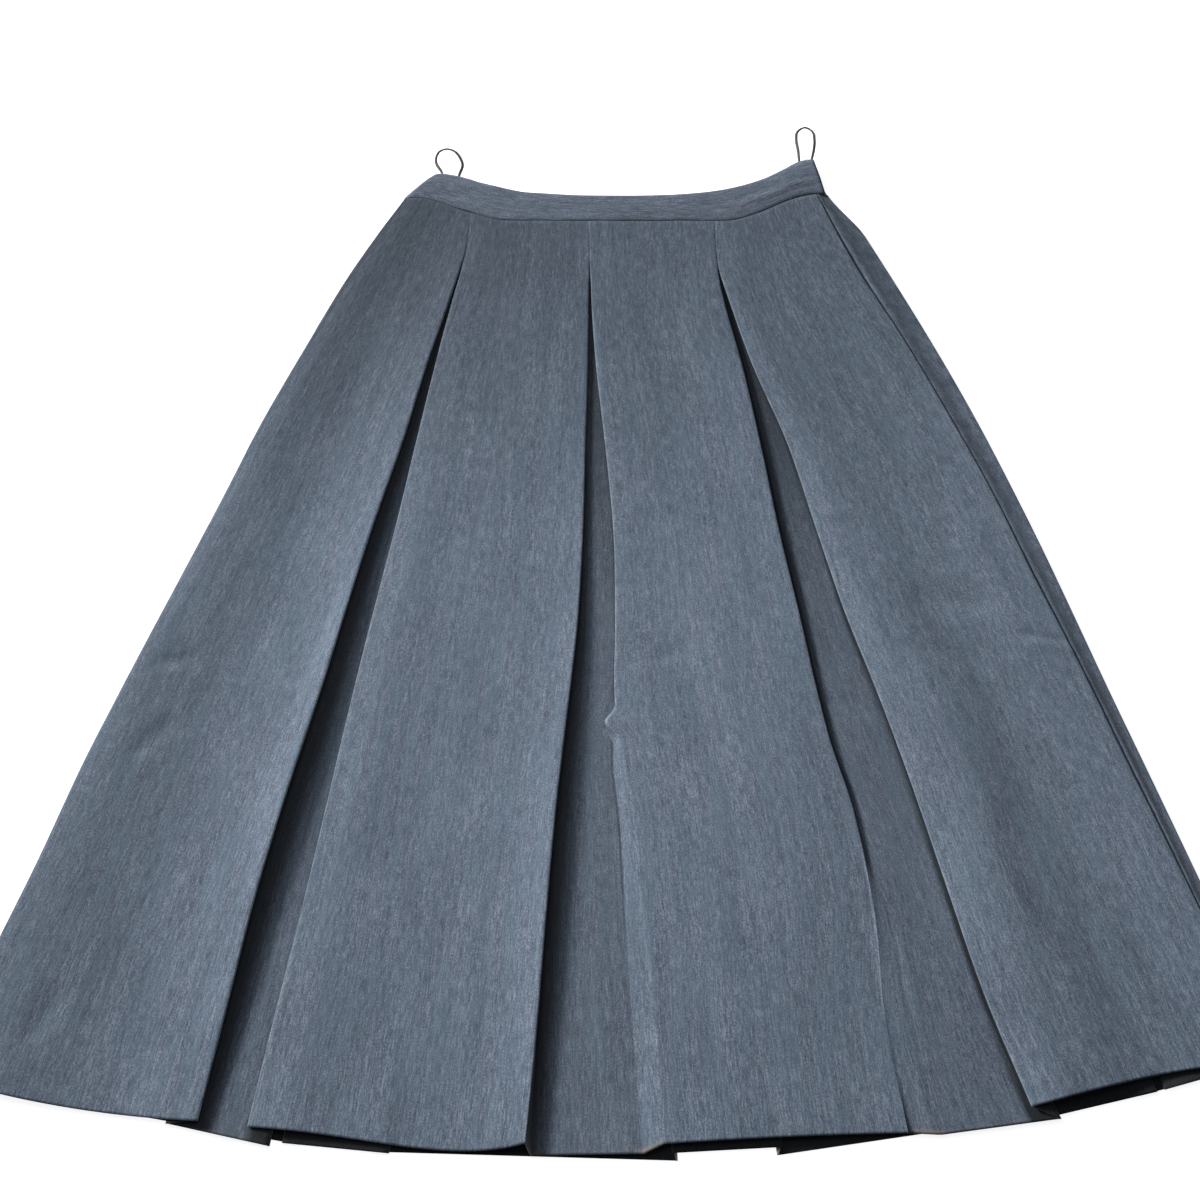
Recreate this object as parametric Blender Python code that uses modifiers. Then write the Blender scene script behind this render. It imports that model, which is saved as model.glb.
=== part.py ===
"""Pleated midi skirt of grey suiting, laid flat on its back.

The waist points to +Y, the front faces +Z and the back rests on Z = 0. Each piece of
cloth is one sheet, lofted through sections that run across the skirt at chosen levels
between the waist seam and the hem, and Solidify gives it its thickness.

Lines that run down the skirt (side edges and pleat folds) are rows of short tables.
A row gives a value at four levels: the waist seam, a third of the way down, two thirds
of the way down and the hem. All table values are millimetres.
"""
from collections import namedtuple
import math

import bpy

MM = 0.001
MIDDLE_Y = 2.25                 # middle of the whole length, where the origin lies

# Cloth and how its layers lie on each other
CLOTH = 1.2                     # wall of the suiting
HALF = CLOTH / 2
GAP = 0.3                       # air between layers and at seams
PITCH = CLOTH + GAP             # from the middle of one layer to the next

# Heights of the layers' middles above the table
BACK_LEVEL = HALF
BACK_RETURN_LEVEL = BACK_LEVEL + PITCH
BACK_UNDERLAY_LEVEL = BACK_RETURN_LEVEL + PITCH
FRONT_UNDERLAY_LEVEL = BACK_UNDERLAY_LEVEL + PITCH
FRONT_RETURN_LEVEL = FRONT_UNDERLAY_LEVEL + PITCH
BELLY_LEVEL = FRONT_UNDERLAY_LEVEL + GAP       # lowest that the front panels sink
SIDE_SEAM_LEVEL = 2 * CLOTH     # top of the back's rolled left side

# Waist seam: level over the middle, turned up towards both sides
SEAM_MIDDLE = 8.0
SEAM_Y = 324.5
SEAM_FLAT = 92.0                # half width of the level stretch
SEAM_TURN = 84.0                # width of each turned-up stretch
SEAM_RISE_LEFT = 23.0
SEAM_RISE_RIGHT = 28.0

# Hem of the back: a shallow arc, lowest in the middle
HEM_Y = -421.5
HEM_HALF_WIDTH = 464.5
HEM_RISE_LEFT = 52.0
HEM_RISE_RIGHT = 68.0

# Levels down the skirt, as shares of the way from the waist seam to the hem
TABLE_LEVELS = (0, 1 / 3, 2 / 3, 1)
STITCHED_TO = 0.05              # the front pleats are sewn shut down to here
OPENED_BY = 0.10                # and open to their full width by here
LOFT_STEPS = 12                 # even steps from there to the hem

# Front folds: place across, and the hem's y on them
Fold = namedtuple("Fold", "across hem_y")
FRONT_FOLDS = {
    "left_side": Fold((-176.5, -289.5, -379.5, -464.5), -366.5),
    "pleat_1_left": Fold((-118, -172, -231, -278), -395.5),
    "pleat_1_right": Fold((-116.5, -159, -202, -244), -399.5),
    "pleat_2_left": Fold((-17, -18.5, -36, -56), -409.5),
    "pleat_2_right": Fold((-15.5, -1, 15, 36), -410),
    "pleat_3_left": Fold((91.5, 125, 172, 202), -403.5),
    "pleat_3_right": Fold((93, 148.5, 217, 286), -386.5),
    "right_edge": Fold((181, 286.5, 374.5, 454), -357),
}

# Front pleats: how far each side is turned under (below zero where it lies open), and
# how much lower than the folds the underlay's two corners reach at the hem
Pleat = namedtuple("Pleat", "left_turn right_turn left_drop right_drop")
FRONT_PLEATS = {
    "pleat_1": Pleat((15, 14, 15, 21.5), (15, 13, 12, 14), 2, 12),
    "pleat_2": Pleat((15, 13, 8, -3), (15, 12, -6, -13), 8, 6.5),
    "pleat_3": Pleat((15, 10, 4, -19.5), (15, 10, 8, 19), 1, 8),
}

# Front panels, left to right: the folds beside them, how far the hem bows up (farthest
# past the middle where the power is over 1), and how high the cloth's middle lies at these
# shares of the width, at each of the four levels
SHARES = (0, 0.12, 0.3, 0.5, 0.7, 0.86, 1)
Panel = namedtuple("Panel", "left right hem_bow bow_power waist upper lower hem")
FRONT_PANELS = (
    Panel("left_side", "pleat_1_left", -6, 1,
          (8.2, 9.0, 9.0, 8.7, 8.3, 8.1, 8.1),
          (8.6, 9.6, 7.8, 5.6, 6.2, 8.8, 12.4),
          (9.4, 9.8, 7.8, 5.6, 6.1, 9.4, 17.2),
          (8.8, 9.6, 8.6, 6.0, 5.4, 7.6, 11.2)),
    Panel("pleat_1_right", "pleat_2_left", -7.8, 2,
          (8.3, 8.6, 8.4, 8.2, 8.2, 8.2, 8.1),
          (8.2, 9.4, 9.0, 8.4, 8.0, 8.2, 9.2),
          (8.4, 9.4, 8.2, 7.2, 7.6, 9.5, 15.8),
          (9.5, 9.8, 8.4, 6.8, 6.4, 8.4, 13.8)),
    Panel("pleat_2_right", "pleat_3_left", 1, 1,
          (8.1, 8.3, 8.2, 8.1, 8.2, 8.2, 8.1),
          (8.8, 9.2, 8.6, 8.0, 8.2, 9.4, 11.0),
          (8.2, 8.8, 9.0, 9.7, 10.5, 9.4, 8.6),
          (9.5, 9.9, 9.4, 8.0, 6.8, 6.2, 6.0)),
    Panel("pleat_3_right", "right_edge", 4, 1,
          (8.1, 8.4, 8.3, 8.1, 8.1, 8.1, 8.1),
          (9.0, 10.8, 9.6, 8.0, 7.4, 8.2, 8.6),
          (9.8, 12.6, 12.8, 7.3, 6.2, 7.4, 8.6),
          (10.0, 13.2, 11.8, 7.0, 6.0, 7.2, 8.6)),
)
RIGHT_EDGE_TURN = 10.0          # the front's right edge is turned under this far
OPENING_TURN = 3.0              # a fold goes from turned under to open over twice this turn
OPEN_ROUNDING = 2.0             # half width of an open fold's soft edges

# Back pleats: middle line, half width of the underlay, how far each side turns under, and
# how much higher than the folds the underlay's hem lies
BackPleat = namedtuple("BackPleat", "middle underlay_half turn hem_rise")
BACK_PLEATS = (
    BackPleat((-98, -127, -156, -185), (14, 22, 29, 36), (12, 12, 12, 12), 0),
    BackPleat((8, 32, 56, 79.5), (14, 22, 29, 37), (12, 12, 9, 3), 5),
    BackPleat((114, 189, 264, 338.5), (14, 22, 29, 36), (12, 12, 12, 12), 0),
)

# Right side: the back tucks under once, comes out to the side and rolls over to the front
RIGHT_SIDE = (192, 306, 387, 464.5)
HIP_OUT = 9.5                   # the right side bulges at the hip, most at HIP_FROM
HIP_FROM, HIP_TO = 0.06, 0.42
SIDE_TUCK = (190, 290, 354, 404)
SIDE_TUCK_DEPTH = (12, 16, 20, 24)
STRIP_UNDER_FRONT = 12.0        # how far the rolled strip runs under the front
STRIP_SINK = 0.03               # its sinking for each millimetre past the tuck
STRIP_SINK_LIMIT = 1.0

# Steps across each stretch of a section
PANEL_STEPS = 12
RETURN_STEPS = 2
UNDERLAY_STEPS = 3
BACK_PANEL_STEPS = 10

# A spot of a section: its place across there and at the waist seam, the hem's y on its
# line down the skirt, and the height of the cloth's middle
Spot = namedtuple("Spot", "x seam_x hem_y z")

# Waistband
BAND = 2.6                      # wall: two layers of cloth and the interfacing
BAND_GAP = 3.2                  # room between its two halves for the seam's layers
BAND_BACK_LEVEL = BAND / 2
BAND_FRONT_LEVEL = BAND_BACK_LEVEL + BAND + BAND_GAP
BAND_CORNER = 12.0              # width of the rounded top left corner
BAND_END_RISE = 0.9             # rolled ends start this much above the seam, corners half
BAND_STEPS = 48
BAND_ROWS = 3

# Top edge of the waistband: y at these places across
TOP_STATIONS = (-158, -144, -129, -108, -78, -58, -25, 9, 37, 79, 112, 137, 152, 167, 177, 183)
TOP_LINE = (372.5, 372.1, 369.5, 361.9, 354.4, 352.3, 350.2, 349.7, 350, 352.6, 358.8, 367.6,
            375.3, 384.0, 386.4, 386.2)

# The halves of the waistband: ends of the bottom and top edges, how much the right end
# stands up (z), and how far the top edge stays short of the line, at the right end too
Band = namedtuple("Band", "bottom_left bottom_right top_left top_right lift short short_right")
FRONT_BAND = Band(-176.5, 189, -158, 180.5, 3, 0, 0)
BACK_BAND = Band(-176.5, 192, -158, 182.5, 0, 1.5, 8.5)
BAND_LIFT_WIDTH = 60.0          # the right end lifts over this width

# Hanger loops: narrow tape standing on its edge, from inside the band past its top edge
Loop = namedtuple("Loop", "left_foot left_side left_bulge left_shoulder crown "
                          "right_shoulder right_bulge right_side right_foot")
LOOPS = {
    "hanger_loop_left": Loop((-145, 376), (-150, 385.5), (-151.2, 393), (-148.6, 400.5), (-142, 403.7),
                             (-134.5, 400.6), (-129.3, 392), (-127.4, 384), (-129.8, 374)),
    "hanger_loop_right": Loop((168.8, 388), (168.6, 400), (167.6, 412), (169.0, 421.5), (176, 426.8),
                              (182.8, 422), (183.8, 411.5), (182.4, 401), (179.6, 389)),
}
LOOP_TAPE = 1.2
LOOP_WIDTH = 2.4
LOOP_ROOT = 12.0                # how far each foot reaches down between the band's halves
LOOP_ROOT_LEAN = 2.0            # and leans in by this
LOOP_ROOT_LEVEL = BAND + BAND_GAP / 2
LOOP_CROWN_LEVEL = LOOP_WIDTH / 2
LOOP_SINK = (0, 0, 0.3, 0.6, 0.85, 1, 0.85, 0.6, 0.3, 0, 0)     # from root to crown level
LOOP_STEPS = 3

# Zip: closed, inside the right side seam below the waistband
ZIP_END = 0.26                  # as a share of the way from the seam to the hem
ZIP_WIDTH = 9.0
ZIP_STEPS = 5

SHARP_ANGLE = 35.0              # degrees between faces that meet in a sharp edge

# Finishes: colour, roughness
SUITING = ((0.110, 0.135, 0.170), 0.9)
BAND_SUITING = ((0.118, 0.130, 0.158), 0.9)
SATIN_TAPE = ((0.035, 0.030, 0.042), 0.5)
ZIP_TAPE = ((0.030, 0.036, 0.046), 0.7)


def mix(a, b, share):
    return a + (b - a) * share


def smooth(share):
    share = min(1.0, max(0.0, share))
    return share * share * (3 - 2 * share)


def at(row, level):
    """Value of a table row at a level, on the smooth curve through its four entries."""
    total = 0.0
    for i, value in enumerate(row):
        weight = 1.0
        for j, other in enumerate(TABLE_LEVELS):
            if i != j:
                weight *= (level - other) / (TABLE_LEVELS[i] - other)
        total += weight * value
    return total


def along(stations, row, place):
    """Value of a row between its stations, on a smooth curve through its entries."""
    last = len(row) - 1
    i = max(0, min(last - 1, sum(place >= station for station in stations) - 1))

    def slope(k):
        before, after = max(0, k - 1), min(last, k + 1)
        return (row[after] - row[before]) / (stations[after] - stations[before])

    width = stations[i + 1] - stations[i]
    t = (place - stations[i]) / width
    rising = t * t * (3 - 2 * t)
    leaving, arriving = t * (1 - t) ** 2, t * t * (t - 1)
    return mix(row[i], row[i + 1], rising) + width * (leaving * slope(i) + arriving * slope(i + 1))


def loft_levels():
    """Levels of the sections: closer where the front pleats open."""
    opened = [mix(OPENED_BY, 1, step / LOFT_STEPS) for step in range(LOFT_STEPS + 1)]
    return [0, STITCHED_TO] + opened


def shifted(row, offset):
    return tuple(value + offset for value in row)


def between(start, end, steps):
    """Evenly spaced spots strictly between two spots."""
    shares = [step / steps for step in range(1, steps)]
    return [Spot(*(mix(a, b, share) for a, b in zip(start, end))) for share in shares]


def seam_y(x):
    """Where the waist seam runs at x."""
    rise = SEAM_RISE_LEFT if x < SEAM_MIDDLE else SEAM_RISE_RIGHT
    return SEAM_Y + rise * smooth((abs(x - SEAM_MIDDLE) - SEAM_FLAT) / SEAM_TURN)


def back_hem_y(x):
    """Where the hem of the back runs at x."""
    rise = HEM_RISE_LEFT if x < 0 else HEM_RISE_RIGHT
    return HEM_Y + rise * (x / HEM_HALF_WIDTH) ** 2


def placed(spots, level):
    """Points of a section: each spot lies on a line from the waist seam to the hem."""
    return [(s.x, mix(seam_y(s.seam_x) - GAP, s.hem_y, level), s.z) for s in spots]


# Front

def fold_x(name, level):
    """Place of a front fold; the two folds of a pleat meet where it is sewn shut."""
    if not name.startswith("pleat"):
        return at(FRONT_FOLDS[name].across, level)
    pleat, side = name.rsplit("_", 1)
    left = at(FRONT_FOLDS[pleat + "_left"].across, level)
    right = at(FRONT_FOLDS[pleat + "_right"].across, level)
    opened = smooth((level - STITCHED_TO) / (OPENED_BY - STITCHED_TO))
    half = mix(PITCH / 2, max(PITCH, right - left) / 2, opened)
    return (left + right) / 2 + (half if side == "right" else -half)


def lie(panel, share, level):
    """Height of a panel's cloth at a share of its width."""
    rows = (panel.waist, panel.upper, panel.lower, panel.hem)
    heights = [along(SHARES, row, share) for row in rows]
    return max(BELLY_LEVEL, along(TABLE_LEVELS, heights, level))


def front_panel(panel, level):
    """A panel from fold to fold, with steps closer together beside the folds."""
    left, right = FRONT_FOLDS[panel.left], FRONT_FOLDS[panel.right]
    left_x, right_x = fold_x(panel.left, level), fold_x(panel.right, level)
    seam_left, seam_right = fold_x(panel.left, 0), fold_x(panel.right, 0)
    spots = []
    for step in range(PANEL_STEPS + 1):
        share = mix(step / PANEL_STEPS, smooth(step / PANEL_STEPS), 0.5)
        bowed = share ** panel.bow_power
        hem = mix(left.hem_y, right.hem_y, share) + 4 * bowed * (1 - bowed) * panel.hem_bow
        spots.append(Spot(mix(left_x, right_x, share), mix(seam_left, seam_right, share), hem,
                          lie(panel, share, level)))
    if panel.left == "left_side":
        spots[0] = side_seam_spot(level, BELLY_LEVEL)._replace(x=left_x + HALF + CLOTH)
    return spots


def side_seam_spot(level, z):
    """A spot of the front on its rolled left side."""
    side = FRONT_FOLDS["left_side"]
    return Spot(at(side.across, level) + HALF, side.across[0] + HALF, side.hem_y, z)


def turned_under(name, panel, turn, drop, side, level):
    """From a fold to the underlay's corner: the fold, the return and the hidden fold.

    Where the fold is open, the same spots make a soft step down to the underlay.
    """
    fold = FRONT_FOLDS[name]
    width = at(turn, level)
    tucked = smooth((width + OPENING_TURN) / (2 * OPENING_TURN))
    rounding = side * mix(OPEN_ROUNDING, 0, tucked)
    top = Spot(fold_x(name, level), fold_x(name, 0), fold.hem_y, lie(panel, max(0, side), level))
    under = top._replace(x=top.x + rounding, z=top.z - mix(GAP, PITCH, tucked))
    hidden = Spot(top.x - side * width, top.seam_x - side * turn[0], fold.hem_y - drop,
                  mix(BELLY_LEVEL, FRONT_RETURN_LEVEL, tucked))
    corner = hidden._replace(x=hidden.x + rounding, z=FRONT_UNDERLAY_LEVEL)
    return [top, under] + between(under, hidden, RETURN_STEPS) + [hidden, corner]


def front_pleat(name, left_panel, right_panel, level):
    """An inverted pleat, without the fold spots that its two panels end on."""
    pleat = FRONT_PLEATS[name]
    left = turned_under(name + "_left", left_panel, pleat.left_turn, pleat.left_drop, 1, level)
    right = turned_under(name + "_right", right_panel, pleat.right_turn, pleat.right_drop, -1, level)
    return left[1:] + between(left[-1], right[-1], UNDERLAY_STEPS) + right[:0:-1]


def front_section(level):
    """The front from the left side seam to its turned right edge."""
    spots = [
        side_seam_spot(level, SIDE_SEAM_LEVEL + GAP),
        side_seam_spot(level, BELLY_LEVEL - CLOTH),
    ]
    for panel, follower, pleat in zip(FRONT_PANELS, FRONT_PANELS[1:], FRONT_PLEATS):
        spots += front_panel(panel, level) + front_pleat(pleat, panel, follower, level)
    spots += front_panel(FRONT_PANELS[-1], level)
    edge = spots[-1]
    end = Spot(edge.x - RIGHT_EDGE_TURN, edge.seam_x - RIGHT_EDGE_TURN, edge.hem_y,
               FRONT_RETURN_LEVEL)
    return placed(spots + [edge._replace(z=edge.z - PITCH), end], level)


# Back

def back_spot(row, level, z, offset=0.0, hem_rise=0.0):
    """A spot of the back on a line down the skirt."""
    hem_y = back_hem_y(row[-1] + offset) + hem_rise
    return Spot(at(row, level) + offset, row[0] + offset, hem_y, z)


def back_pleat(pleat, level):
    """An inverted pleat that opens to the table: its underlay lies uppermost."""
    left = tuple(m - h for m, h in zip(pleat.middle, pleat.underlay_half))
    right = tuple(m + h for m, h in zip(pleat.middle, pleat.underlay_half))
    turn = at(pleat.turn, level)
    half = (
        (BACK_LEVEL, turn, 0),
        (BACK_RETURN_LEVEL, turn, 0),
        (BACK_RETURN_LEVEL, turn / 2, pleat.hem_rise / 2),
        (BACK_RETURN_LEVEL, 0, pleat.hem_rise),
        (BACK_UNDERLAY_LEVEL, 0, pleat.hem_rise),
    )
    first = [back_spot(left, level, z, offset, rise) for z, offset, rise in half]
    second = [back_spot(right, level, z, -offset, rise) for z, offset, rise in reversed(half)]
    middle = back_spot(pleat.middle, level, BACK_UNDERLAY_LEVEL, 0, pleat.hem_rise)
    return first + [middle] + second


def hip(level):
    """How far the right side bulges past its line."""
    return HIP_OUT * smooth(level / HIP_FROM) * (1 - smooth(level / HIP_TO))


def right_side(level):
    """The tuck, the stretch out to the side and the strip that rolls over to the front."""
    hidden = tuple(a - b for a, b in zip(SIDE_TUCK, SIDE_TUCK_DEPTH))
    right_edge = FRONT_FOLDS["right_edge"].across
    # Past the tuck nothing lies below, so the cloth sinks onto the table
    overhang = at(RIGHT_SIDE, level) + hip(level) - at(SIDE_TUCK, level)
    sink = min(STRIP_SINK_LIMIT, overhang * STRIP_SINK)
    past_tuck = max(0, at(right_edge, level) - at(SIDE_TUCK, level)) / overhang
    return [
        back_spot(SIDE_TUCK, level, BACK_LEVEL, -HALF),
        back_spot(SIDE_TUCK, level, BACK_RETURN_LEVEL, -HALF),
        back_spot(hidden, level, BACK_RETURN_LEVEL),
        back_spot(hidden, level, BACK_UNDERLAY_LEVEL),
        back_spot(SIDE_TUCK, level, BACK_UNDERLAY_LEVEL, -CLOTH),
        back_spot(RIGHT_SIDE, level, BACK_UNDERLAY_LEVEL - sink, hip(level) - HALF),
        back_spot(RIGHT_SIDE, level, FRONT_UNDERLAY_LEVEL - sink, hip(level) - HALF),
        back_spot(right_edge, level, FRONT_UNDERLAY_LEVEL - sink * past_tuck),
        back_spot(right_edge, level, FRONT_UNDERLAY_LEVEL, -STRIP_UNDER_FRONT),
    ]


def back_section(level):
    """The back from the left side seam, over the table and round the right side."""
    side = FRONT_FOLDS["left_side"].across
    spots = [
        back_spot(side, level, SIDE_SEAM_LEVEL, HALF),
        back_spot(side, level, PITCH, HALF),
        back_spot(side, level, BACK_LEVEL, PITCH),
    ]
    stretches = [back_pleat(pleat, level) for pleat in BACK_PLEATS] + [right_side(level)]
    for stretch in stretches:
        spots += between(spots[-1], stretch[0], BACK_PANEL_STEPS) + stretch
    return placed(spots, level)


# Waistband, loops and zip

def band_columns(band, level, rolls_up):
    """Columns of the band: share of its width, height, and how much higher they start.

    The left end is rolled towards the other half. Walls lean with the band's ends, so
    they start a little higher there to keep clear of the seam.
    """
    width = band.bottom_right - band.bottom_left
    seam = SIDE_SEAM_LEVEL + BAND / 2 + (0 if rolls_up else GAP)
    bend = level + BAND / 2 if rolls_up else level - BAND / 2
    rolled = [(BAND / 2 / width, seam, BAND_END_RISE), (BAND / 2 / width, bend, BAND_END_RISE)]
    corner = [(BAND / width, level, BAND_END_RISE / 2)]
    shares = [mix(3 * BAND / width, 1, step / BAND_STEPS) for step in range(BAND_STEPS)]
    flat = [(share, level, 0) for share in shares]
    return rolled + corner + flat + [(1, level, BAND_END_RISE / 2)]


def band_point(band, column, row):
    """A point of the band, from its seam (row 0) to its top edge (row 1)."""
    share, z, rise = column
    bottom_x = mix(band.bottom_left, band.bottom_right, share)
    top_x = mix(band.top_left, band.top_right, share)
    raised = 1 - smooth((band.bottom_right - bottom_x) / BAND_LIFT_WIDTH)
    corner = 1 - smooth((bottom_x - band.bottom_left) / BAND_CORNER)
    bottom_y = seam_y(bottom_x) + GAP / 2 + rise
    top_y = along(TOP_STATIONS, TOP_LINE, top_x) - mix(band.short, band.short_right, raised) + rise
    top_y -= BAND_CORNER / 2 * corner
    return (mix(bottom_x, top_x, row), mix(bottom_y, top_y, row), z + band.lift * raised * row)


def band_rows(band, level, rolls_up):
    columns = band_columns(band, level, rolls_up)
    steps = range(BAND_ROWS + 1)
    return [[band_point(band, column, step / BAND_ROWS) for column in columns] for step in steps]


def back_band_rows():
    """The back half also turns up at its right end, below the front half's end."""
    rows = band_rows(BACK_BAND, BAND_BACK_LEVEL, True)
    for row in rows:
        x, y, z = row.pop()
        row.append((x - BAND, y, z))
        row.append((x - BAND / 2, y + BAND_END_RISE / 2, z + BAND / 2))
        row.append((x - BAND / 2, y + BAND_END_RISE / 2, z + BAND))
    return rows


def curve_through(points, steps):
    """A smooth line through points (Catmull-Rom), with its ends kept."""
    padded = [points[0]] + list(points) + [points[-1]]
    line = []
    for a, b, c, d in zip(padded, padded[1:], padded[2:], padded[3:]):
        for step in range(steps):
            t = step / steps
            line.append(tuple(
                0.5 * (2 * q + (r - p) * t + (2 * p - 5 * q + 4 * r - s) * t * t
                       + (3 * q - p - 3 * r + s) * t ** 3)
                for p, q, r, s in zip(a, b, c, d)))
    return line + [tuple(points[-1])]


def loop_rows(loop):
    """Tape on its edge: between the band's halves, up and round the crown, and back."""
    (left_x, left_y), (right_x, right_y) = loop.left_foot, loop.right_foot
    route = [(left_x + LOOP_ROOT_LEAN, left_y - LOOP_ROOT), *loop,
             (right_x - LOOP_ROOT_LEAN, right_y - LOOP_ROOT)]
    stations = [(x, y, mix(LOOP_ROOT_LEVEL, LOOP_CROWN_LEVEL, sink))
                for (x, y), sink in zip(route, LOOP_SINK)]
    line = curve_through(stations, LOOP_STEPS)
    return [[(x, y, z + edge) for x, y, z in line] for edge in (-LOOP_WIDTH / 2, LOOP_WIDTH / 2)]


def zip_rows():
    """Closed zip beside the rolled strip's inner edge."""
    outer = shifted(FRONT_FOLDS["right_edge"].across, -STRIP_UNDER_FRONT - GAP)
    inner = shifted(outer, -ZIP_WIDTH)
    levels = [ZIP_END * step / ZIP_STEPS for step in range(ZIP_STEPS + 1)]
    return [placed([back_spot(row, level, FRONT_UNDERLAY_LEVEL) for row in (inner, outer)], level)
            for level in levels]


# Blender objects

def material(name, finish):
    colour, roughness = finish
    made = bpy.data.materials.new(name)
    made.use_nodes = True
    shader = made.node_tree.nodes["Principled BSDF"]
    shader.inputs["Base Color"].default_value = colour + (1,)
    shader.inputs["Roughness"].default_value = roughness
    return made


def sheet(name, rows, thickness, finish, collection):
    """Loft rows of points into one sheet and give it its thickness."""
    width = len(rows[0])
    points = [(x * MM, (y - MIDDLE_Y) * MM, z * MM) for row in rows for x, y, z in row]
    faces = []
    for row in range(len(rows) - 1):
        for column in range(width - 1):
            corner = row * width + column
            faces.append((corner, corner + width, corner + width + 1, corner + 1))
    mesh = bpy.data.meshes.new(name)
    mesh.from_pydata(points, [], faces)
    mesh.materials.append(material(name + "_finish", finish))
    mesh.shade_smooth()
    mesh.set_sharp_from_angle(angle=math.radians(SHARP_ANGLE))
    made = bpy.data.objects.new(name, mesh)
    collection.objects.link(made)
    solidify = made.modifiers.new("Cloth", "SOLIDIFY")
    solidify.thickness = thickness * MM
    solidify.offset = 0
    solidify.use_even_offset = True
    solidify.use_quality_normals = True
    return made


def main():
    for old in list(bpy.data.objects):
        bpy.data.objects.remove(old)
    levels = loft_levels()
    skirt = bpy.data.collections.new("pleated_midi_skirt")
    bpy.context.scene.collection.children.link(skirt)
    sheet("front_panel", [front_section(level) for level in levels], CLOTH, SUITING, skirt)
    sheet("back_panel", [back_section(level) for level in levels], CLOTH, SUITING, skirt)
    front_band = band_rows(FRONT_BAND, BAND_FRONT_LEVEL, False)
    sheet("waistband_front", front_band, BAND, BAND_SUITING, skirt)
    sheet("waistband_back", back_band_rows(), BAND, BAND_SUITING, skirt)
    for name, loop in LOOPS.items():
        sheet(name, loop_rows(loop), LOOP_TAPE, SATIN_TAPE, skirt)
    sheet("side_zip", zip_rows(), CLOTH, ZIP_TAPE, skirt)


main()
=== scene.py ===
from collections import namedtuple
import math

import bpy
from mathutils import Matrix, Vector, noise


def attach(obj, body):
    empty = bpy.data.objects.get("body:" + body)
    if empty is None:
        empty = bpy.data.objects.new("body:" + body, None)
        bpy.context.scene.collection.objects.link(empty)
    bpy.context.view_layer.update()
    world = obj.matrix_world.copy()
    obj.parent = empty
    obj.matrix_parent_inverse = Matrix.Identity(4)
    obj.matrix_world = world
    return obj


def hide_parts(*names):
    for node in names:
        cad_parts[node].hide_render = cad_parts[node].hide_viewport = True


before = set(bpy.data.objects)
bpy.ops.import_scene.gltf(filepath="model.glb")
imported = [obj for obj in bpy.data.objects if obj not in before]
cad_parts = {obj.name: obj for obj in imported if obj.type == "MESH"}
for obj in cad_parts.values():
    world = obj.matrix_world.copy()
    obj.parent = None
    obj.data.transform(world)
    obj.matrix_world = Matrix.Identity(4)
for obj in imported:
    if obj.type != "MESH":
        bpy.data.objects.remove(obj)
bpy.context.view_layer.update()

# Looks of the pleated midi skirt, laid flat: waist to +Y, front up. Tables are in
# millimetres. Each piece of cloth is one sheet through sections that run across the
# skirt, at levels from the waist seam (0) to the hem (1).
MM = 0.001
MIDDLE_Y = 2.25                  # the tables count y from here

# Cloth and its layers: middles of the layers above the table
CLOTH = 0.9                      # thickness shown, a little under the solids' wall
PITCH = 1.5
ROLL = PITCH / 2                 # radius of a pressed fold
BACK_LEVEL = 0.6
BACK_RETURN = BACK_LEVEL + PITCH
BACK_UNDERLAY = BACK_RETURN + PITCH
FRONT_UNDERLAY = BACK_UNDERLAY + PITCH
FRONT_RETURN = FRONT_UNDERLAY + PITCH
SIDE_SEAM = 2.55                 # where front and back meet on the rolled left side

# Waist seam and hem of the back
SEAM_MIDDLE, SEAM_Y, SEAM_FLAT, SEAM_TURN = 8.0, 324.5, 92.0, 84.0
SEAM_RISE_LEFT, SEAM_RISE_RIGHT = 23.0, 28.0
SEAM_ROOM, SEAM_WOBBLE = 0.3, 0.7
HEM_Y, HEM_HALF_WIDTH, HEM_RISE_LEFT, HEM_RISE_RIGHT = -421.5, 464.5, 52.0, 68.0
LENGTH = 745.0                   # waist seam to hem

# Lines down the skirt. A row gives its place across at each of these levels.
LEVELS = (0, 0.06, 0.12, 0.2, 0.3, 0.4, 0.5, 0.57, 0.63, 0.7, 0.8, 0.9, 1)
SEWN_TO, OPENED_BY, SEWN_HALF, FOLD_GAP = 0.04, 0.09, -0.35, 0.62

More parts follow.
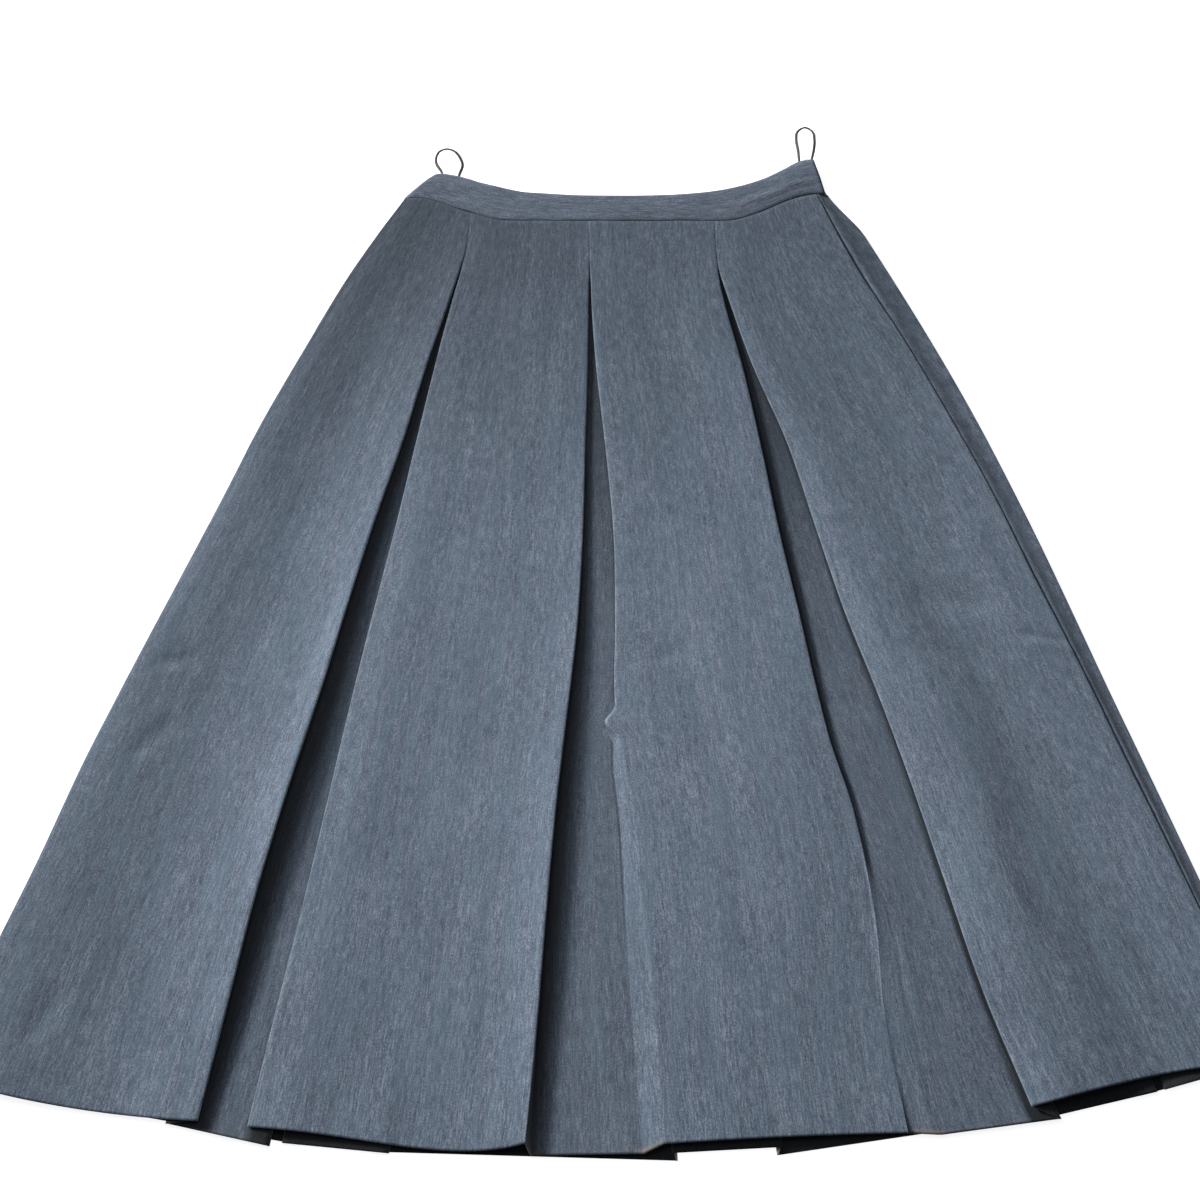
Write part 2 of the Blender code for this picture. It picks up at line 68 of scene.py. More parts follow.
# Fold: place across, width turned under (below zero where it lies open), hem's y, and
# how much lower the underlay's corner reaches at the hem
Fold = namedtuple("Fold", "across turn hem_y drop")
FOLDS = {
    "left_side": Fold(
        (-177, -202, -224.5, -250.4, -281.5, -308.5, -336.4, -356, -372.5, -390.9, -414.2, -439.8,
         -464.5), (0,) * 13, -366.5, 0),
    "pleat_1_left": Fold(
        (-118, -122.8, -132.8, -148.2, -164.7, -183.8, -200.7, -212, -222.5, -235.3, -251.5,
         -264.5, -278),
        (15, 15, 15, 15, 14, 14, 14, 14.5, 15, 16, 17, 19, 21.5), -395.5, 2),
    "pleat_1_right": Fold(
        (-116.5, -121.2, -130.5, -141.6, -154.5, -167, -180.8, -190, -197.5, -205.8, -217.9,
         -231.2, -244),
        (15, 15, 14, 14, 13, 13, 12, 12, 12, 12, 12, 13, 14), -399.5, 12),
    "pleat_2_left": Fold(
        (-17, -16, -16.3, -16.9, -18.6, -20.2, -23.9, -29, -33.8, -39.1, -44.9, -50.1, -56),
        (15, 14, 13.5, 13, 13, 12.5, 12, 11, 10, 8, 5, 1, -3), -409.5, 8),
    "pleat_2_right": Fold(
        (-15.5, -14.2, -12.9, -8.9, -1.3, 4.6, 5.5, 4.7, 8.5, 17, 25, 30.5, 36),
        (15, 14.5, 14, 13.5, 12.5, 11, 9.5, 8, -4.6, -8.3, -12.3, -13, -13), -410, 6.5),
    "pleat_3_left": Fold(
        (91.5, 92.2, 98.8, 111, 123, 134.1, 147.2, 155.8, 164.5, 178.4, 189.3, 192, 202),
        (15, 13, 12, 11.5, 10.5, 9.5, 8, 7, 5.5, 2, -8, -14, -19.5), -403.5, 1),
    "pleat_3_right": Fold(
        (93, 94, 104, 120, 145, 163.1, 181.7, 197.5, 210.5, 224.4, 242.7, 261.7, 286),
        (15, 13, 12, 11, 10, 9.5, 9, 8.6, 8.3, 8, 8.6, 12, 19), -386.5, 8),
    "right_edge": Fold(
        (181, 197.3, 215.5, 244.1, 275.7, 305, 329.9, 348.7, 364, 380.8, 405.9, 430, 454),
        (10,) * 13, -357, 0),
}

# How far each front panel's hem bows, deepest past the middle where the power is over 1, and
# how high it lies (middle of the cloth) at these shares of its width, at these levels
SHARES = (0, 0.12, 0.3, 0.5, 0.7, 0.86, 1)
PANEL_LEVELS = (0, 0.35, 0.68, 1)
Panel = namedtuple("Panel", "left right hem_bow bow_power waist upper lower hem")
PANELS = (
    Panel("left_side", "pleat_1_left", -6, 1,
          (8.2, 9.0, 9.0, 8.7, 8.3, 8.1, 8.1),
          (8.6, 9.6, 7.8, 5.6, 6.2, 8.8, 12.4),
          (9.4, 9.8, 7.8, 5.6, 6.1, 9.4, 17.2),
          (8.8, 9.6, 8.6, 6.0, 5.4, 7.6, 11.2)),
    Panel("pleat_1_right", "pleat_2_left", -7.8, 2,
          (8.3, 8.6, 8.4, 8.2, 8.2, 8.2, 8.1),
          (8.2, 9.4, 9.0, 8.4, 8.0, 8.2, 9.2),
          (8.4, 9.4, 8.2, 7.2, 7.6, 9.5, 15.8),
          (9.5, 9.8, 8.4, 6.8, 6.4, 8.4, 13.8)),
    Panel("pleat_2_right", "pleat_3_left", 1, 1,
          (8.1, 8.3, 8.2, 8.1, 8.2, 8.2, 8.1),
          (8.8, 9.2, 8.6, 8.0, 8.2, 9.4, 11.0),
          (8.2, 8.8, 9.0, 9.7, 10.5, 9.4, 8.6),
          (9.5, 9.9, 9.4, 8.0, 6.8, 6.2, 6.0)),
    Panel("pleat_3_right", "right_edge", 4, 1,
          (8.1, 8.4, 8.3, 8.1, 8.1, 8.1, 8.1),
          (9.0, 10.8, 9.6, 8.0, 7.4, 8.2, 8.6),
          (9.8, 12.6, 12.8, 7.3, 6.2, 7.4, 8.6),
          (10.0, 13.2, 11.8, 7.0, 6.0, 7.2, 8.6)),
)
BELLY_LEVEL = 5.2                # the front's cloth never sinks below this
PANEL_STEPS = 34
UNDERLAY_STEPS = 18
RETURN_STEPS = 4
GATHERED = 0.6                   # how far a panel's columns and a band's rows crowd to its edges

# The rolled left side: the seam's edge (inwards, height), and the first panel, which starts
# this far in, at this height, and reaches its own height over this share of its width
SIDE_ROLL = ((0.1, SIDE_SEAM), (0.5, 4.2), (1.2, 6.0), (2.2, 7.8))
SIDE_INSET, SIDE_LOW, SIDE_ROUNDING = 4 * ROLL, 8.6, 0.05

# Folds: steps round the roll, the steps whose edge gets the full painted highlight, and how much the
# others get
FOLD_STEPS, FOLD_STEP_ANGLE = 5, 36
HIGHLIGHT_STEPS, LESS_HIGHLIGHT = (2, 3), 0.4
OPENING_TURN = 3.0               # a fold goes from turned under to open over twice this turn
OPEN_ROLL = 0.1                  # how much of its roll an open fold keeps
OPEN_EDGE_UP, OPEN_BEND_UP = 0.5, 0.1         # and its soft foot: heights over the underlay,
OPEN_BEND_OUT, OPEN_CORNER_OUT = 1.5, 3       # and places past the edge

# Back pleats: middle line, half width of the underlay, how far each side turns under, and
# how much higher than the folds the underlay's hem lies
BACK_LEVELS = (0, 1 / 3, 2 / 3, 1)
BackPleat = namedtuple("BackPleat", "middle underlay_half turn hem_rise")
BACK_PLEATS = (
    BackPleat((-98, -127, -156, -185), (14, 22, 29, 36), (12, 12, 12, 12), 0),
    BackPleat((8, 32, 56, 79.5), (14, 22, 29, 37), (12, 12, 9, 3), 5),
    BackPleat((114, 189, 264, 338.5), (14, 22, 29, 36), (12, 12, 12, 12), 0),
)
RIGHT_SIDE = (192, 306, 387, 464.5)
HIP_OUT, HIP_FROM, HIP_TO = 9.5, 0.06, 0.42    # the right side bulges at the hip
SIDE_STEPS, SIDE_ROUND = 8, 0.25               # and is rounded off where it rolls over
SIDE_TUCK = (190, 290, 354, 404)
SIDE_TUCK_DEPTH = (12, 16, 20, 24)
LEFT_SIDE = (-176.5, -289.5, -379.5, -464.5)
RIGHT_EDGE = (181, 286.5, 374.5, 454)
STRIP_UNDER_FRONT, STRIP_SINK, STRIP_SINK_LIMIT = 12.0, 0.03, 1.0
STRIP_SHADE = 0.4                # painted shade: the rolled strip darkens toward the front's edge
STRIP_STEPS, STRIP_RIDGE, STRIP_RIDGE_OUT = 6, 2.3, 1.5        # and rises just outside it
STRIP_FOOT = ((STRIP_RIDGE / 3, 0.3), (-0.2, -2.5), (0, -STRIP_UNDER_FRONT))   # height, place
BACK_STEPS = 16
BACK_ROLL = ((SIDE_SEAM - 0.3, 0.6), (1.4, 0.6), (0.85, 1.0), (BACK_LEVEL, 2.2))   # height, inwards

# Fine shape of the skirt's sheets
SEAM_ROLL, SEAM_ROLL_TO = 1.1, 0.0028          # the top edge dips into the waist seam
UNEVEN = ((0.3, 70, 0), (0.12, 22, 5))         # the cloth's waves: height, size, seed

# Where the second pleat's right fold lets go, its edge makes a small beak
BEAK_LEVEL, BEAK_LENGTH, BEAK_OUT, BEAK_UP = 0.604, 0.010, 9.0, 0.6
BEAK_OUT_TO, BEAK_UP_TO = 0.12, 0.1            # shares of its panel that it pulls and raises

# Creases left by handling: ends, half width, and height (below zero for a trough)
Crease = namedtuple("Crease", "start end width height")
FRONT_CREASES = (
    Crease((228, -18), (306, -27), 9, -1.5),
    Crease((222, -53), (296, -78), 8, -1.5),
    Crease((304, -46), (360, -59), 2.6, -1.3),
    Crease((310, -52), (362, -65), 3.4, 0.9),
    Crease((258, 112), (275, 5), 8, -1.1),
    Crease((284, -168), (322, -300), 13, -2.0),
    Crease((183, -215), (206, -320), 5, -1.2),
    Crease((190, -229), (222, -340), 4, 1.0),
    Crease((172, -228), (192, -330), 3, -0.8),
    Crease((-352, -77), (-306, -66), 6, -1.5),
    Crease((-358, -152), (-320, -110), 6, -1.7),
    Crease((-404, -352), (-376, -302), 5, -1.7),
    Crease((-416, -332), (-390, -288), 5, 1.0),
    Crease((160, -95), (200, -116), 4, -1.4),
    Crease((22, 49), (68, 44), 6, -1.0),
    Crease((28, -73), (76, -52), 5, -1.0),
    Crease((28, -65), (90, -109), 5, -1.0),
)
BACK_CREASES = (
    Crease((-330, -160), (-285, -120), 7, 0.8),
    Crease((-60, -40), (-15, -70), 6, 0.7),
    Crease((150, 60), (205, 40), 7, 0.8),
    Crease((230, -210), (262, -300), 9, 0.8),
)
BAND_CREASES = (
    Crease((106, 336), (164, 359), 2.0, 1.2),
    Crease((104, 343), (158, 365), 3.0, -0.6),
    Crease((140, 357), (192, 367), 1.8, 0.9),
    Crease((-158, 354), (-104, 344), 3.0, -0.9),
    Crease((-60, 336), (-10, 333), 3.5, -0.7),
    Crease((-178, 368), (-70, 352), 8.0, 0.9),
)

# Painted shade, which the suiting turns to a darker tone (1 is deepest). The inside of a pleat
# gets painted shade by level, and more beside a raised left fold, as far as the fold's height reaches
INSIDE_SHADE = ((0, 0.25, 0.5, 0.75, 1), (1.0, 0.76, 0.36, 0.22, 0.22))
SHADE_PER_HEIGHT, SHADE_START, SHADE_FADE = 1.7, 0.25, 0.9
RAISED_FROM, RAISED_OVER, RAISED_TURN = 1.5, 2.5, 12
UNDER_EDGE, UNDER_FADE = 1, 5                  # under a right fold: width, and its fading
FOOT_SHADE, FOOT_SHADE_LOW = 0.8, 0.25         # at the foot of an open fold, less near the hem
FOOT_LOW_FROM, FOOT_LOW_OVER = 0.74, 0.12
UNDERLAY_TUCK = 0.2                            # an underlay is this much calmer than a panel
WAIST_SHADE, WAIST_SHADE_TO = 0.26, 0.42       # soft, below the waistband's left half
WAIST_SHADE_EDGE, WAIST_SHADE_WIDTH = 60, 240
SIDE_SHADE, SIDE_SHADE_FROM, SIDE_SHADE_TO = 0.08, 0.35, 0.65      # and on the first panel's left
END_SHADE, SEAM_SHADE_TO = 0.6, 0.003          # along the waist seam and the hem's edge
HEM_SHADE_FROM, HEM_SHADE_OVER = 0.9975, 0.0025
HEM_CUT_FROM, HEM_CUT_OVER = 0.9965, 0.0015    # a turned hem's cut edge is tinted tan below here

# Spot of a section: place across there and at the waist seam, the hem's y on its line down the
# skirt, height, how much painted highlight it gets on a fold's edge, how far it is turned under, and
# how much painted shade it gets
Spot = namedtuple("Spot", "x seam_x hem_y z fold tuck shade")


def mix(a, b, share):
    return a + (b - a) * share


def smooth(share):
    share = min(1.0, max(0.0, share))
    return share * share * (3 - 2 * share)


def along(stations, row, at):
    """Value of a table row at a place between its stations, on a smooth curve."""
    last = len(row) - 1
    i = max(0, min(last - 1, sum(at >= station for station in stations) - 1))

    def slope(k):
        a, b = max(0, k - 1), min(last, k + 1)
        return (row[b] - row[a]) / (stations[b] - stations[a])

    width = stations[i + 1] - stations[i]
    t = (at - stations[i]) / width
    t2, t3 = t * t, t * t * t
    return ((2 * t3 - 3 * t2 + 1) * row[i] + (t3 - 2 * t2 + t) * width * slope(i)
            + (3 * t2 - 2 * t3) * row[i + 1] + (t3 - t2) * width * slope(i + 1))


def between(start, end, steps):
    """The spots that divide the way from start to end, without either."""
    return [Spot(*(mix(a, b, step / steps) for a, b in zip(start, end))) for step in range(1, steps)]


def ripple(x, y, size, seed):
    """Smooth unevenness from -1 to 1 with features of this size."""
    return noise.noise(Vector((x / size, y / size, seed)))


def creased(creases, x, y):
    """What the creases add to the height here, fading out at their ends."""
    height = 0.0
    for crease in creases:
        (x0, y0), (x1, y1) = crease.start, crease.end
        length = math.hypot(x1 - x0, y1 - y0)
        share = ((x - x0) * (x1 - x0) + (y - y0) * (y1 - y0)) / length ** 2
        off = ((x - x0) * (y1 - y0) - (y - y0) * (x1 - x0)) / length
        if 0 < share < 1 and abs(off) < 3 * crease.width:
            fading = smooth(4 * share * (1 - share))
            height += crease.height * math.exp(-(off / crease.width) ** 2) * fading
    return height


def seam_y(x):
    rise = SEAM_RISE_LEFT if x < SEAM_MIDDLE else SEAM_RISE_RIGHT
    turned = smooth((abs(x - SEAM_MIDDLE) - SEAM_FLAT) / SEAM_TURN)
    return SEAM_Y + rise * turned + SEAM_WOBBLE * ripple(x, 0, 24, 7)


def back_hem_y(x):
    rise = HEM_RISE_LEFT if x < 0 else HEM_RISE_RIGHT
    return HEM_Y + rise * (x / HEM_HALF_WIDTH) ** 2


# Front

def fold_x(name, level):
    """Place of a front fold; the two folds of a pleat meet where it is sewn shut."""
    if not name.startswith("pleat"):
        return along(LEVELS, FOLDS[name].across, level)
    pleat, side = name.rsplit("_", 1)
    left = along(LEVELS, FOLDS[pleat + "_left"].across, level)
    right = along(LEVELS, FOLDS[pleat + "_right"].across, level)
    opened = smooth((level - SEWN_TO) / (OPENED_BY - SEWN_TO))
    half = mix(SEWN_HALF, max(2 * FOLD_GAP, right - left) / 2, opened)
    if name == "pleat_2_right":
        return (left + right) / 2 + half - BEAK_OUT * beak(level)
    return (left + right) / 2 + (half if side == "right" else -half)


def beak(level):
    """How strongly the beak shows at a level."""
    return math.exp(-((level - BEAK_LEVEL) / BEAK_LENGTH) ** 2)


def lie(panel, share, level):
    """Height of a panel's cloth."""
    rows = (panel.waist, panel.upper, panel.lower, panel.hem)
    return max(BELLY_LEVEL, along(PANEL_LEVELS, [along(SHARES, row, share) for row in rows], level))


def front_panel(panel, level):
    """From the inner end of a panel's left fold to that of its right one."""
    left, right = FOLDS[panel.left], FOLDS[panel.right]
    at_side = panel.left == "left_side"
    inset = SIDE_INSET if at_side else ROLL
    left_x, right_x = fold_x(panel.left, level) + inset, fold_x(panel.right, level) - ROLL
    seam_left, seam_right = fold_x(panel.left, 0) + inset, fold_x(panel.right, 0) - ROLL
    spots = []
    for step in range(PANEL_STEPS + 1):
        share = mix(step / PANEL_STEPS, smooth(step / PANEL_STEPS), GATHERED)
        bowed = share ** panel.bow_power
        hem = mix(left.hem_y, right.hem_y, share) + 4 * bowed * (1 - bowed) * panel.hem_bow
        x = mix(left_x, right_x, share)
        z = lie(panel, share, level)
        if at_side:
            z = mix(SIDE_LOW, z, smooth(share / SIDE_ROUNDING))
        if panel.left == "pleat_2_right":
            x += BEAK_OUT * beak(level) * (smooth(share / BEAK_OUT_TO) - share)
            z += BEAK_UP * beak(level) * (1 - smooth(share / BEAK_UP_TO))
        # Painted shade below the waistband's left half, and on the first panel's left side
        leftward = smooth((WAIST_SHADE_EDGE - x) / WAIST_SHADE_WIDTH)
        shade = WAIST_SHADE * (1 - smooth(level / WAIST_SHADE_TO)) * leftward
        if at_side:
            past = (share - SIDE_SHADE_FROM) / (SIDE_SHADE_TO - SIDE_SHADE_FROM)
            shade += SIDE_SHADE * (1 - smooth(past))
        spots.append(Spot(x, mix(seam_left, seam_right, share), hem, z, 0, 0, shade))
    return spots


def tucked_in(name, level):
    """Share of its turning under that a fold keeps: 1 turned under, 0 lying open."""
    return smooth((along(LEVELS, FOLDS[name].turn, level) + OPENING_TURN) / (2 * OPENING_TURN))


def turned_under(name, panel, side, level):
    """From a panel's end round its fold, along the return to the underlay's corner."""
    fold = FOLDS[name]
    turn = along(LEVELS, fold.turn, level)
    tucked = tucked_in(name, level)
    x, seam_x = fold_x(name, level), fold_x(name, 0)
    top = lie(panel, 1 if side > 0 else 0, level)
    spots = []
    for step in range(1, FOLD_STEPS + 1):
        angle = math.radians(90 - FOLD_STEP_ANGLE * step * mix(OPEN_ROLL, 1, tucked))
        out = side * ROLL * (math.cos(angle) - 1)
        # Painted highlight on the edge of a fold: full on its middle steps, and only where it is turned
        # under
        pressed_highlight = tucked * (1 if step in HIGHLIGHT_STEPS else LESS_HIGHLIGHT)
        spots.append(Spot(x + out, seam_x + out, fold.hem_y, top - ROLL + ROLL * math.sin(angle),
                          pressed_highlight, 0.5, 0))
    hidden = Spot(x - side * turn, seam_x - side * fold.turn[0], fold.hem_y - fold.drop,
                  mix(FRONT_UNDERLAY + OPEN_EDGE_UP, FRONT_RETURN, tucked), 0, 1, 0)
    bend = hidden._replace(x=hidden.x - side * mix(-OPEN_BEND_OUT, ROLL, tucked),
                           z=mix(FRONT_UNDERLAY + OPEN_BEND_UP, FRONT_RETURN - ROLL, tucked))
    corner = hidden._replace(x=hidden.x + side * mix(OPEN_CORNER_OUT, 0, tucked), z=FRONT_UNDERLAY)
    return spots + between(spots[-1], hidden, RETURN_STEPS) + [hidden, bend, corner]


def front_section(level):
    """The whole front at a level, from the rolled left side to the turned right edge."""
    side = fold_x("left_side", level)
    seam = fold_x("left_side", 0)
    hem = FOLDS["left_side"].hem_y
    spots = [Spot(side + inwards, seam + inwards, hem, z, 0, 0, 0) for inwards, z in SIDE_ROLL]
    for number, panel in enumerate(PANELS):
        spots += front_panel(panel, level)
        left = turned_under(panel.right, panel, 1, level)
        if panel.right == "right_edge":
            spots += left[:-2]
            break
        follower = PANELS[number + 1]
        right = turned_under(follower.left, follower, -1, level)
        spots += shaded(panel, follower, left, right, level)
    return spots


def shaded(panel, follower, left, right, level):
    """The inside of a pleat, with painted shade beside its raised left fold and under its right one.

    Open folds count as outside; a thin line of painted shade marks the foot of an open right one.
    """
    inside = left + between(left[-1], right[-1], UNDERLAY_STEPS) + right[::-1]
    left_x, right_x = fold_x(panel.right, level), fold_x(follower.left, level)
    height = lie(panel, 1, level) - FRONT_UNDERLAY
    reach = SHADE_PER_HEIGHT * height
    left_turn = along(LEVELS, FOLDS[panel.right].turn, level)
    raised = (smooth((height - RAISED_FROM) / RAISED_OVER)
              * smooth((left_turn + RAISED_TURN) / RAISED_TURN))
    left_tucked, under = tucked_in(panel.right, level), tucked_in(follower.left, level)
    low = smooth((level - FOOT_LOW_FROM) / FOOT_LOW_OVER)
    foot = (1 - under) * mix(FOOT_SHADE, FOOT_SHADE_LOW, low)
    depth = along(*INSIDE_SHADE, level)
    corner = len(left) - 1
    spots = []
    for number, spot in enumerate(inside):
        shade = raised * (1 - smooth((spot.x - left_x - SHADE_START * reach) / (SHADE_FADE * reach)))
        shade = max(shade, under * (1 - smooth((right_x - spot.x + UNDER_EDGE) / UNDER_FADE)))
        outermost = min(number, len(inside) - 1 - number)
        within = (outermost - corner + 2) / 2
        if outermost == number:
            within = mix(within, outermost / 4, left_tucked)
        shade = max(shade * smooth((outermost - 1) / 3), depth * smooth(within))
        if number == len(inside) - corner:
            shade = max(shade, foot)
        tuck = UNDERLAY_TUCK if outermost > corner else spot.tuck
        spots.append(spot._replace(shade=shade, tuck=tuck))
    return spots


# Back

def back_spot(row, level, z, offset=0.0, tuck=0, hem_rise=0.0):
    """A spot of the back on a line given by its row across, or beside it."""
    x = along(BACK_LEVELS, row, level) + offset
    return Spot(x, row[0] + offset, back_hem_y(row[-1] + offset) + hem_rise, z, 0, tuck, 0)


def back_pleat(pleat, level):
    """An inverted pleat that opens to the table: its underlay lies uppermost."""
    left = tuple(m - h for m, h in zip(pleat.middle, pleat.underlay_half))
    right = tuple(m + h for m, h in zip(pleat.middle, pleat.underlay_half))
    turn = along(BACK_LEVELS, pleat.turn, level)
    half = (
        (BACK_LEVEL, turn - ROLL, 0), (BACK_LEVEL + ROLL, turn, 0),
        (BACK_RETURN, turn - ROLL, 0), (BACK_RETURN, turn / 2, pleat.hem_rise / 2),
        (BACK_RETURN, ROLL, pleat.hem_rise), (BACK_RETURN + ROLL, 0, pleat.hem_rise),
        (BACK_UNDERLAY, ROLL, pleat.hem_rise),
    )
    first = [back_spot(left, level, z, offset, 1, rise) for z, offset, rise in half]
    second = [back_spot(right, level, z, -offset, 1, rise) for z, offset, rise in half]
    return first + between(first[-1], second[-1], UNDERLAY_STEPS) + second[::-1]


def right_side(level):
    """The tuck, the stretch out to the side and the strip that rolls over to the front."""
    hip = HIP_OUT * smooth(level / HIP_FROM) * (1 - smooth(level / HIP_TO))
    hidden = tuple(a - b for a, b in zip(SIDE_TUCK, SIDE_TUCK_DEPTH))
    overhang = along(BACK_LEVELS, RIGHT_SIDE, level) + hip - along(BACK_LEVELS, SIDE_TUCK, level)
    sink = min(STRIP_SINK_LIMIT, overhang * STRIP_SINK)
    out = back_spot(RIGHT_SIDE, level, BACK_UNDERLAY - sink, hip - 2 * ROLL)
    over = back_spot(RIGHT_SIDE, level, FRONT_UNDERLAY - sink, hip - 2 * ROLL)
    rolled = between(back_spot(SIDE_TUCK, level, BACK_UNDERLAY), out, SIDE_STEPS)
    ridge = back_spot(RIGHT_EDGE, level, FRONT_UNDERLAY + STRIP_RIDGE, STRIP_RIDGE_OUT)
    strip = between(over, ridge, STRIP_STEPS) + [ridge]
    # Painted shade on the strip, deepest beside the front's edge
    for step, spot in enumerate(strip):
        share = (step + 1) / STRIP_STEPS
        strip[step] = spot._replace(z=mix(over.z, ridge.z, share ** 2), shade=STRIP_SHADE * share)
    return [
        back_spot(SIDE_TUCK, level, BACK_LEVEL, -ROLL, 1),
        back_spot(SIDE_TUCK, level, BACK_LEVEL + ROLL, 0, 1),
        back_spot(SIDE_TUCK, level, BACK_RETURN, -ROLL, 1),
        back_spot(hidden, level, BACK_RETURN, ROLL, 1),
        back_spot(hidden, level, BACK_RETURN + ROLL, 0, 1),
        back_spot(hidden, level, BACK_UNDERLAY, ROLL, 1),
    ] + rolled + [
        out,
        back_spot(RIGHT_SIDE, level, BACK_UNDERLAY - sink + SIDE_ROUND, hip - ROLL),
        # The side's rolled edge gets the full painted highlight of a fold's edge
        back_spot(RIGHT_SIDE, level, BACK_UNDERLAY - sink + ROLL, hip - 0.5)._replace(fold=1),
        back_spot(RIGHT_SIDE, level, FRONT_UNDERLAY - sink - SIDE_ROUND, hip - ROLL),
        over,
    ] + strip + [back_spot(RIGHT_EDGE, level, FRONT_UNDERLAY + z, beside) for z, beside in STRIP_FOOT]


def back_section(level):
    """The whole back at a level, from the left side seam to the strip beside the front."""
    spots = [back_spot(LEFT_SIDE, level, z, inwards) for z, inwards in BACK_ROLL]
    for stretch in [back_pleat(pleat, level) for pleat in BACK_PLEATS] + [right_side(level)]:
        spots += between(spots[-1], stretch[0], BACK_STEPS) + stretch
    return spots


# Sheets

FINE_FROM, FINE_TO, FINE_STEPS, FINE_MARGIN = 0.54, 0.575, 12, 0.003   # sharp creases lie here


def down_levels(steps):
    """Levels of the sections, closer at the waist seam, beak and sharp creases and at the hem."""
    near_seam = [0, 0.001, 0.0025, 0.006, 0.012, 0.02, 0.03, 0.04, 0.05, 0.06, 0.07, 0.08, 0.09]
    near_beak = [BEAK_LEVEL + BEAK_LENGTH * step / 3 for step in range(-6, 7)]
    near_crease = [mix(FINE_FROM, FINE_TO, step / FINE_STEPS) for step in range(FINE_STEPS + 1)]
    rest = [mix(0.1, 0.99, step / steps) for step in range(steps + 1)]
    rest = [level for level in rest if abs(level - BEAK_LEVEL) > 2.3 * BEAK_LENGTH
            and not FINE_FROM - FINE_MARGIN < level < FINE_TO + FINE_MARGIN]
    return sorted(near_seam + near_beak + near_crease + rest + [0.9945, 0.9975, 1])


def skirt_sheet(name, section, steps, outer_up, creases, finishes, seed):
    """One piece of the skirt, with its cloth measured across the hem for the weave."""
    hem = section(1)
    across = [0.0]
    for a, b in zip(hem, hem[1:]):
        across.append(across[-1] + math.hypot(b.x - a.x, b.z - a.z))
    points, cloth, folds, edges, shades = [], [], [], [], []
    for level in down_levels(steps):
        for spot, u in zip(section(level), across):
            y = mix(seam_y(spot.seam_x) - SEAM_ROOM, spot.hem_y, level)
            rolled_in = SEAM_ROLL * (1 - smooth(level / SEAM_ROLL_TO))
            uneven = sum(height * ripple(spot.x, y, size, seed + more) for height, size, more in UNEVEN)
            z = spot.z + creased(creases, spot.x, y) * (1 - spot.tuck)
            if outer_up:
                z += uneven * (1 - spot.tuck) - rolled_in
            points.append((spot.x * MM, (y - MIDDLE_Y) * MM, z * MM))
            cloth.append((u * MM, level * LENGTH * MM))
            folds.append(spot.fold)
            edges.append(spot.tuck * smooth((level - HEM_CUT_FROM) / HEM_CUT_OVER))
            # Painted shade in a thin line along the waist seam and along the hem's edge
            at_ends = max(1 - smooth(level / SEAM_SHADE_TO),
                          smooth((level - HEM_SHADE_FROM) / HEM_SHADE_OVER))
            shades.append(max(spot.shade, END_SHADE * at_ends))
    marks = {"pressed_highlight": folds, "cut": edges, "shade": shades}
    return sheet(name, points, len(across), cloth, marks, CLOTH, outer_up, finishes)


def sheet(name, points, width, cloth, marks, thickness, outer_up, finishes):
    """Rows of points made one cloth with its weave's map and its thickness."""
    faces = []
    for row in range(len(points) // width - 1):
        for column in range(width - 1):
            a = row * width + column
            face = (a, a + width, a + width + 1, a + 1)
            faces.append(face if outer_up else face[::-1])
    mesh = bpy.data.meshes.new(name)
    mesh.from_pydata(points, [], faces)
    layer = mesh.uv_layers.new(name="cloth")
    for loop in mesh.loops:
        layer.data[loop.index].uv = cloth[loop.vertex_index]
    for label, values in marks.items():
        attribute = mesh.attributes.new(label, "FLOAT", "POINT")
        attribute.data.foreach_set("value", values)
    for finish in finishes:
        mesh.materials.append(finish)
    mesh.shade_smooth()
    piece = bpy.data.objects.new(name, mesh)
    bpy.context.scene.collection.objects.link(piece)
    wall = piece.modifiers.new("cloth", "SOLIDIFY")
    wall.thickness = thickness * MM
    wall.offset = 0
    wall.use_even_offset = False
    wall.material_offset = 1
    wall.material_offset_rim = 2
    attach(piece, "root")
    return piece


# Waistband

BAND, BAND_WALL, BAND_CORNER = 2.6, 2.2, 12.0
BAND_DEPTH = 26.0
BAND_BACK_LEVEL, BAND_FRONT_LEVEL = 1.3, 7.1
BAND_COLUMNS, BAND_ROWS, BAND_LIFT_WIDTH = 150, 16, 60.0
BAND_LEFT_FINER = 1.15           # over 1: the columns stand closer at the left end
BAND_END_RISE, BAND_END_WIDTH = 0.9, 1.5 * BAND        # its left end rolls round to the other half
BAND_CROWN, BAND_EDGE_DROP, BAND_EDGE_WIDTH = 0.7, 0.5, 1.6       # padded by the seams inside
BAND_UNEVEN, BAND_UNEVEN_SIZE = 0.35, 28
BAND_SHADE, BAND_SHADE_WIDTH = 0.7, 1.2        # painted shade: the dark line of the waist seam
TOP_STATIONS = (-158, -144, -129, -108, -78, -58, -25, 9, 37, 79, 112, 137, 152, 167, 177, 183)
TOP_LINE = (372.5, 372.1, 369.5, 361.9, 354.4, 352.3, 350.2, 349.7, 350, 352.6, 358.8, 367.6, 375.3,
            384.0, 386.4, 386.2)
Band = namedtuple("Band", "bottom_left bottom_right top_left top_right lift short short_right")
FRONT_BAND = Band(-176.5, 189, -158, 180.5, 1.5, 0, 0)
BACK_BAND = Band(-176.5, 192, -158, 182.5, 0, 1.5, 8.5)


